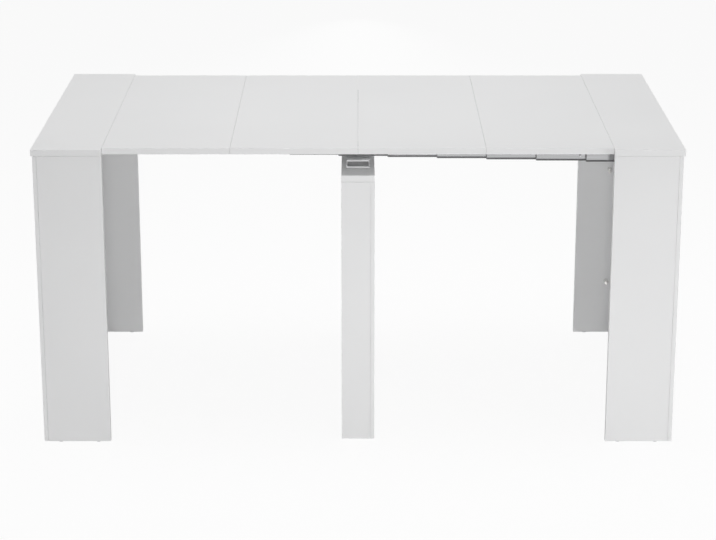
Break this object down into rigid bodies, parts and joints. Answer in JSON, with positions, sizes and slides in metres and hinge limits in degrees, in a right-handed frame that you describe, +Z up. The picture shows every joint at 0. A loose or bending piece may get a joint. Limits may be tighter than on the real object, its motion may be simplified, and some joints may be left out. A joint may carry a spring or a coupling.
{
  "type": "extendable console table",
  "caption": "White console table pulled out on telescopic aluminium rails to dining length, with loose leaves laid between two panelled ends and a narrow centre leg.",
  "frame": {"origin": "on the floor under the middle of the pulled-out table", "axes": "+X along the table to the right as seen in the picture, -Y towards the viewer, +Z up"},
  "size_m": [1.634, 0.9, 0.78],
  "materials": {
    "white_board": "satin white lacquered board",
    "satin_aluminium": "satin anodised extrusion",
    "zinc_steel": "bright zinc or nickel plate",
    "beech": "plain turned wood",
    "grey_plastic": "moulded",
    "white_plastic": "moulded"
  },
  "bodies": {
    "right_end": {"right_cam_bolts": "zinc_steel", "right_cam_discs": "zinc_steel", "right_dowels": "beech", "right_end_panel": "white_board", "right_front_board": "white_board", "right_glides": "grey_plastic", "right_rail_angles": "zinc_steel", "right_rail_screws": "zinc_steel", "right_rear_board": "white_board", "right_top": "white_board", "leaf_store_pegs": "zinc_steel", "front_rail_01": "satin_aluminium", "rear_rail_01": "satin_aluminium"},
    "left_end": {"left_cam_bolts": "zinc_steel", "left_cam_discs": "zinc_steel", "left_dowels": "beech", "left_end_panel": "white_board", "left_front_board": "white_board", "left_glides": "grey_plastic", "left_rail_angles": "zinc_steel", "left_rail_screws": "zinc_steel", "left_rear_board": "white_board", "left_top": "white_board", "front_rail_11": "satin_aluminium", "rear_rail_11": "satin_aluminium"},
    "stage_02": {"front_rail_02": "satin_aluminium", "rear_rail_02": "satin_aluminium"},
    "stage_03": {"front_rail_03": "satin_aluminium", "rear_rail_03": "satin_aluminium"},
    "stage_04": {"front_rail_04": "satin_aluminium", "rear_rail_04": "satin_aluminium"},
    "stage_05": {"front_rail_05": "satin_aluminium", "rear_rail_05": "satin_aluminium"},
    "stage_06": {"front_rail_06": "satin_aluminium", "rear_rail_06": "satin_aluminium", "centre_dowels": "beech", "centre_front_post": "white_board", "centre_glides": "grey_plastic", "centre_rear_post": "white_board", "centre_side_panel": "white_board", "centre_top_board": "white_board", "crossbar": "satin_aluminium", "crossbar_pads": "grey_plastic", "crossbar_screws": "zinc_steel"},
    "stage_07": {"front_rail_07": "satin_aluminium", "rear_rail_07": "satin_aluminium"},
    "stage_08": {"front_rail_08": "satin_aluminium", "rear_rail_08": "satin_aluminium"},
    "stage_09": {"front_rail_09": "satin_aluminium", "rear_rail_09": "satin_aluminium"},
    "stage_10": {"front_rail_10": "satin_aluminium", "rear_rail_10": "satin_aluminium"},
    "leaf_1": {"leaf_1": "white_board", "leaf_1_studs": "white_plastic"},
    "leaf_2": {"leaf_2": "white_board", "leaf_2_studs": "white_plastic"},
    "leaf_3": {"leaf_3": "white_board", "leaf_3_studs": "white_plastic"},
    "leaf_4": {"leaf_4": "white_board", "leaf_4_studs": "white_plastic"}
  },
  "joints": [
    {"name": "extension", "type": "slide", "parent": "right_end", "child": "left_end", "axis": [-1, 0, 0], "range_m": [0, 0.1]},
    {"name": "stage_02_slide", "type": "slide", "parent": "right_end", "child": "stage_02", "axis": [-1, 0, 0], "range_m": [0, 0.0101]},
    {"name": "stage_03_slide", "type": "slide", "parent": "right_end", "child": "stage_03", "axis": [-1, 0, 0], "range_m": [0, 0.0201]},
    {"name": "stage_04_slide", "type": "slide", "parent": "right_end", "child": "stage_04", "axis": [-1, 0, 0], "range_m": [0, 0.0301]},
    {"name": "stage_05_slide", "type": "slide", "parent": "right_end", "child": "stage_05", "axis": [-1, 0, 0], "range_m": [0, 0.0401]},
    {"name": "stage_06_slide", "type": "slide", "parent": "right_end", "child": "stage_06", "axis": [-1, 0, 0], "range_m": [0, 0.0501]},
    {"name": "stage_07_slide", "type": "slide", "parent": "right_end", "child": "stage_07", "axis": [-1, 0, 0], "range_m": [0, 0.0601]},
    {"name": "stage_08_slide", "type": "slide", "parent": "right_end", "child": "stage_08", "axis": [-1, 0, 0], "range_m": [0, 0.0701]},
    {"name": "stage_09_slide", "type": "slide", "parent": "right_end", "child": "stage_09", "axis": [-1, 0, 0], "range_m": [0, 0.0801]},
    {"name": "stage_10_slide", "type": "slide", "parent": "right_end", "child": "stage_10", "axis": [-1, 0, 0], "range_m": [0, 0.0901]},
    {"name": "leaf_1_lift", "type": "slide", "parent": "stage_09", "child": "leaf_1", "axis": [0, 0, 1], "range_m": [0, 0.3]},
    {"name": "leaf_2_lift", "type": "slide", "parent": "stage_07", "child": "leaf_2", "axis": [0, 0, 1], "range_m": [0, 0.3]},
    {"name": "leaf_3_lift", "type": "slide", "parent": "stage_05", "child": "leaf_3", "axis": [0, 0, 1], "range_m": [0, 0.3]},
    {"name": "leaf_4_lift", "type": "slide", "parent": "stage_03", "child": "leaf_4", "axis": [0, 0, 1], "range_m": [0, 0.3]}
  ],
  "couplings": [
    {"joint": "stage_02_slide", "follows": "extension", "ratio": 0.1},
    {"joint": "stage_03_slide", "follows": "extension", "ratio": 0.2},
    {"joint": "stage_04_slide", "follows": "extension", "ratio": 0.3},
    {"joint": "stage_05_slide", "follows": "extension", "ratio": 0.4},
    {"joint": "stage_06_slide", "follows": "extension", "ratio": 0.5},
    {"joint": "stage_07_slide", "follows": "extension", "ratio": 0.6},
    {"joint": "stage_08_slide", "follows": "extension", "ratio": 0.7},
    {"joint": "stage_09_slide", "follows": "extension", "ratio": 0.8},
    {"joint": "stage_10_slide", "follows": "extension", "ratio": 0.9}
  ]
}
